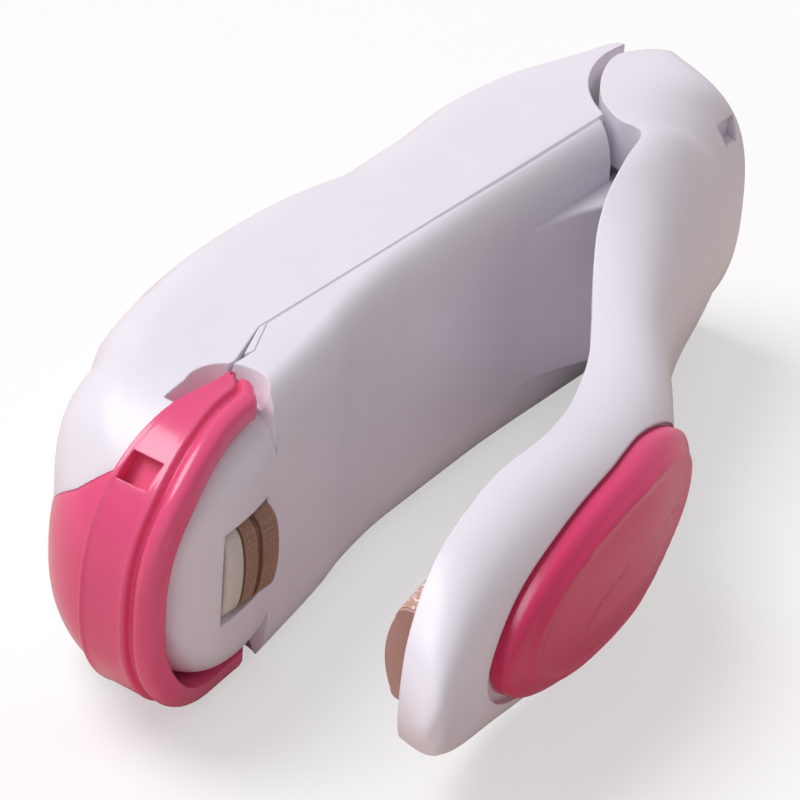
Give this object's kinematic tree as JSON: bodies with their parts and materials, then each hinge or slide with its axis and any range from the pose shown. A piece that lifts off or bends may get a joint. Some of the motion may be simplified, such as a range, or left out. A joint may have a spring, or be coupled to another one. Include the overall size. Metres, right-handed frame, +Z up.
{
  "type": "mini bag sealer",
  "caption": "Hand-held heat sealer for plastic bags: clamshell case, sprung hot bar in the nose, hinged pressing lever with thumb pad, swinging lock visor and battery door.",
  "frame": {"origin": "point on the flat side that the case rests on, under the case's middle", "axes": "+Z up across the width, +Y from the nose to the hinge, +X from the battery door to the lever"},
  "size_m": [0.0648, 0.1141, 0.035],
  "materials": {
    "white_plastic": "satin moulded, faint mottle",
    "inner_plastic": "matte moulded",
    "pink_plastic": "smooth moulded, slightly translucent",
    "cell_wrap": "plain shrink wrap",
    "steel": "plated",
    "brass": "rolled sheet",
    "ceramic": "fired, smooth",
    "woven_cloth": "coated glass cloth, fine weave",
    "soft_rubber": "matte"
  },
  "bodies": {
    "case": {"base_tub": "white_plastic", "top_cover": "white_plastic", "cell_1": "cell_wrap", "cell_2": "cell_wrap", "contact_spring_front": "steel", "contact_spring_rear": "steel", "contact_bridge_front": "steel", "contact_plate_rear_1": "steel", "contact_plate_rear_2": "steel", "heater_spring_1": "steel", "heater_spring_2": "steel", "switch_leaf_upper": "brass", "switch_leaf_lower": "brass", "hinge_pin": "steel", "lever_spring": "steel", "case_screw_1": "steel", "case_screw_2": "steel", "case_screw_3": "steel", "case_screw_4": "steel"},
    "door": {"battery_door": "white_plastic"},
    "heater": {"heater_block": "ceramic", "heater_strip_front": "woven_cloth", "heater_strip_rear": "woven_cloth", "heater_ribbon": "steel"},
    "lever": {"lever_shell": "white_plastic", "lever_liner": "inner_plastic", "press_pad": "soft_rubber", "pad_cloth": "woven_cloth", "thumb_pad": "pink_plastic"},
    "lock": {"lock_visor": "pink_plastic"}
  },
  "joints": [
    {"name": "lever_hinge", "type": "hinge", "parent": "case", "child": "lever", "pos_m": [0.0095, 0.046, 0.0175], "axis": [0, 0, 1], "range_deg": [-11.7, 0], "stiffness_Nm_per_rad": 0.03, "springref_deg": 20.05},
    {"name": "lock_turn", "type": "hinge", "parent": "case", "child": "lock", "pos_m": [0.0132, -0.03859, 0.0175], "axis": [0, 0, 1], "range_deg": [0, 20]},
    {"name": "heater_press", "type": "slide", "parent": "case", "child": "heater", "axis": [-1, 0, 0], "range_m": [0, 0.0012], "stiffness_N_per_m": 400, "springref_m": -0.0012},
    {"name": "door_slide", "type": "slide", "parent": "case", "child": "door", "axis": [-1, 0, 0], "range_m": [0, 0.012]}
  ]
}
